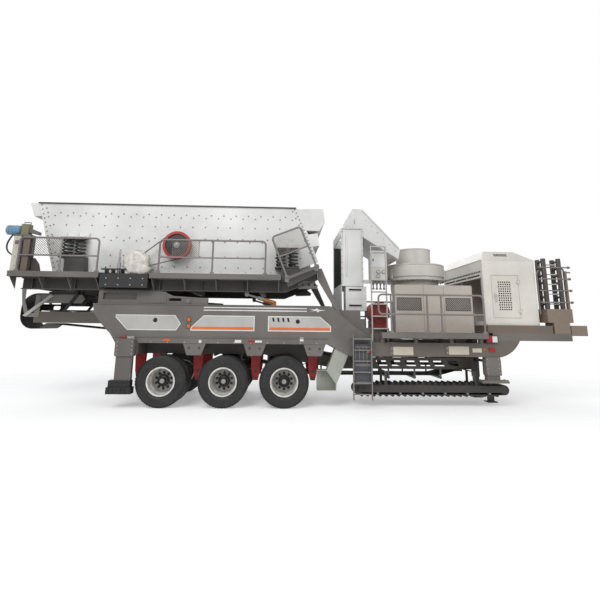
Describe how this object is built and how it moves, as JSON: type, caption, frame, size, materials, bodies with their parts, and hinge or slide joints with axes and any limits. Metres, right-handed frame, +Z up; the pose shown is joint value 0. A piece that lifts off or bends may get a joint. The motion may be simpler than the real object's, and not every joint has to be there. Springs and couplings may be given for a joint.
{
  "type": "mobile crushing and screening plant",
  "caption": "Semi-trailer with a cone crusher at the front and a large inclined-end vibrating screen at the rear, with belts, walkways and jacks, in transport position.",
  "frame": {"origin": "on the ground under the middle of the overall length and width", "axes": "+X from the folded belt at the rear towards the gooseneck, -Y towards the side with the screen motor and cabinet door, +Z up"},
  "size_m": [13.1, 2.9, 4.56],
  "materials": {
    "chassis_grey": "satin",
    "black_steel": "satin",
    "red_paint": "satin",
    "pulley_red": "satin",
    "screen_white": "satin",
    "screen_mesh": "matte",
    "crusher_grey": "satin",
    "cream_paint": "satin",
    "ladder_grey": "satin",
    "belt_rubber": "matte",
    "motor_wrap": "satin",
    "cylinder_steel": "satin",
    "tyre": "matte",
    "wheel_silver": "satin"
  },
  "bodies": {
    "plant": {"axles": "black_steel", "belt_pulleys": "black_steel", "cross_members": "chassis_grey", "crusher_bowl": "crusher_grey", "crusher_frame": "crusher_grey", "crusher_guard": "cream_paint", "crusher_hopper": "crusher_grey", "discharge_chute": "screen_white", "discharge_lips": "screen_white", "drive_motor": "red_paint", "exciter_housing": "crusher_grey", "feed_chute": "screen_white", "front_boxes": "chassis_grey", "gooseneck": "chassis_grey", "hanger_brackets": "chassis_grey", "head_section_frame": "chassis_grey", "jack_sleeves": "chassis_grey", "ladders": "ladder_grey", "landing_legs": "black_steel", "leaf_springs": "black_steel", "lift_cylinders": "cylinder_steel", "low_beams": "chassis_grey", "main_belt": "belt_rubber", "main_conveyor_frame": "chassis_grey", "mast_hose": "belt_rubber", "motor_bracket": "black_steel", "motor_stool": "chassis_grey", "power_cabinet": "cream_paint", "railings": "chassis_grey", "rear_mast": "chassis_grey", "red_hangers": "red_paint", "screen_box": "screen_white", "screen_decks": "screen_mesh", "screen_motor": "motor_wrap", "screen_springs": "black_steel", "screen_subframe": "chassis_grey", "side_belt": "belt_rubber", "side_conveyor_frame": "chassis_grey", "side_girders": "chassis_grey", "subframe_pedestals": "chassis_grey", "v_belt": "belt_rubber", "walkways": "chassis_grey"},
    "wheel_set_near_1": {"tyres_near_1": "tyre", "wheel_near_1": "wheel_silver"},
    "wheel_set_near_2": {"tyres_near_2": "tyre", "wheel_near_2": "wheel_silver"},
    "wheel_set_near_3": {"tyres_near_3": "tyre", "wheel_near_3": "wheel_silver"},
    "jack_rear_near": {"jack_leg_rear_near": "black_steel"},
    "jack_front_near": {"jack_leg_front_near": "chassis_grey"},
    "wheel_set_far_1": {"tyres_far_1": "tyre", "wheel_far_1": "wheel_silver"},
    "wheel_set_far_2": {"tyres_far_2": "tyre", "wheel_far_2": "wheel_silver"},
    "wheel_set_far_3": {"tyres_far_3": "tyre", "wheel_far_3": "wheel_silver"},
    "jack_rear_far": {"jack_leg_rear_far": "black_steel"},
    "jack_front_far": {"jack_leg_front_far": "chassis_grey"},
    "screen_pulley": {"exciter_pulley": "pulley_red"},
    "door": {"cabinet_door": "cream_paint"}
  },
  "joints": [
    {"name": "wheel_near_1_spin", "type": "hinge", "parent": "plant", "child": "wheel_set_near_1", "pos_m": [-2.93, -0.975, 0.535], "axis": [0, 1, 0], "continuous": true},
    {"name": "wheel_near_2_spin", "type": "hinge", "parent": "plant", "child": "wheel_set_near_2", "pos_m": [-1.62, -0.975, 0.535], "axis": [0, 1, 0], "continuous": true},
    {"name": "wheel_near_3_spin", "type": "hinge", "parent": "plant", "child": "wheel_set_near_3", "pos_m": [-0.31, -0.975, 0.535], "axis": [0, 1, 0], "continuous": true},
    {"name": "jack_rear_near_slide", "type": "slide", "parent": "plant", "child": "jack_rear_near", "axis": [0, 0, -1], "range_m": [0, 0.28]},
    {"name": "jack_front_near_slide", "type": "slide", "parent": "plant", "child": "jack_front_near", "axis": [0, 0, -1], "range_m": [0, 0.28]},
    {"name": "wheel_far_1_spin", "type": "hinge", "parent": "plant", "child": "wheel_set_far_1", "pos_m": [-2.93, 0.975, 0.535], "axis": [0, 1, 0], "continuous": true},
    {"name": "wheel_far_2_spin", "type": "hinge", "parent": "plant", "child": "wheel_set_far_2", "pos_m": [-1.62, 0.975, 0.535], "axis": [0, 1, 0], "continuous": true},
    {"name": "wheel_far_3_spin", "type": "hinge", "parent": "plant", "child": "wheel_set_far_3", "pos_m": [-0.31, 0.975, 0.535], "axis": [0, 1, 0], "continuous": true},
    {"name": "jack_rear_far_slide", "type": "slide", "parent": "plant", "child": "jack_rear_far", "axis": [0, 0, -1], "range_m": [0, 0.28]},
    {"name": "jack_front_far_slide", "type": "slide", "parent": "plant", "child": "jack_front_far", "axis": [0, 0, -1], "range_m": [0, 0.28]},
    {"name": "screen_pulley_spin", "type": "hinge", "parent": "plant", "child": "screen_pulley", "pos_m": [-2.81, -1.12, 3.51], "axis": [0, 1, 0], "continuous": true},
    {"name": "door_hinge", "type": "hinge", "parent": "plant", "child": "door", "pos_m": [5.083, -1.145, 2.445], "axis": [0, 0, 1], "range_deg": [0, 110]}
  ]
}
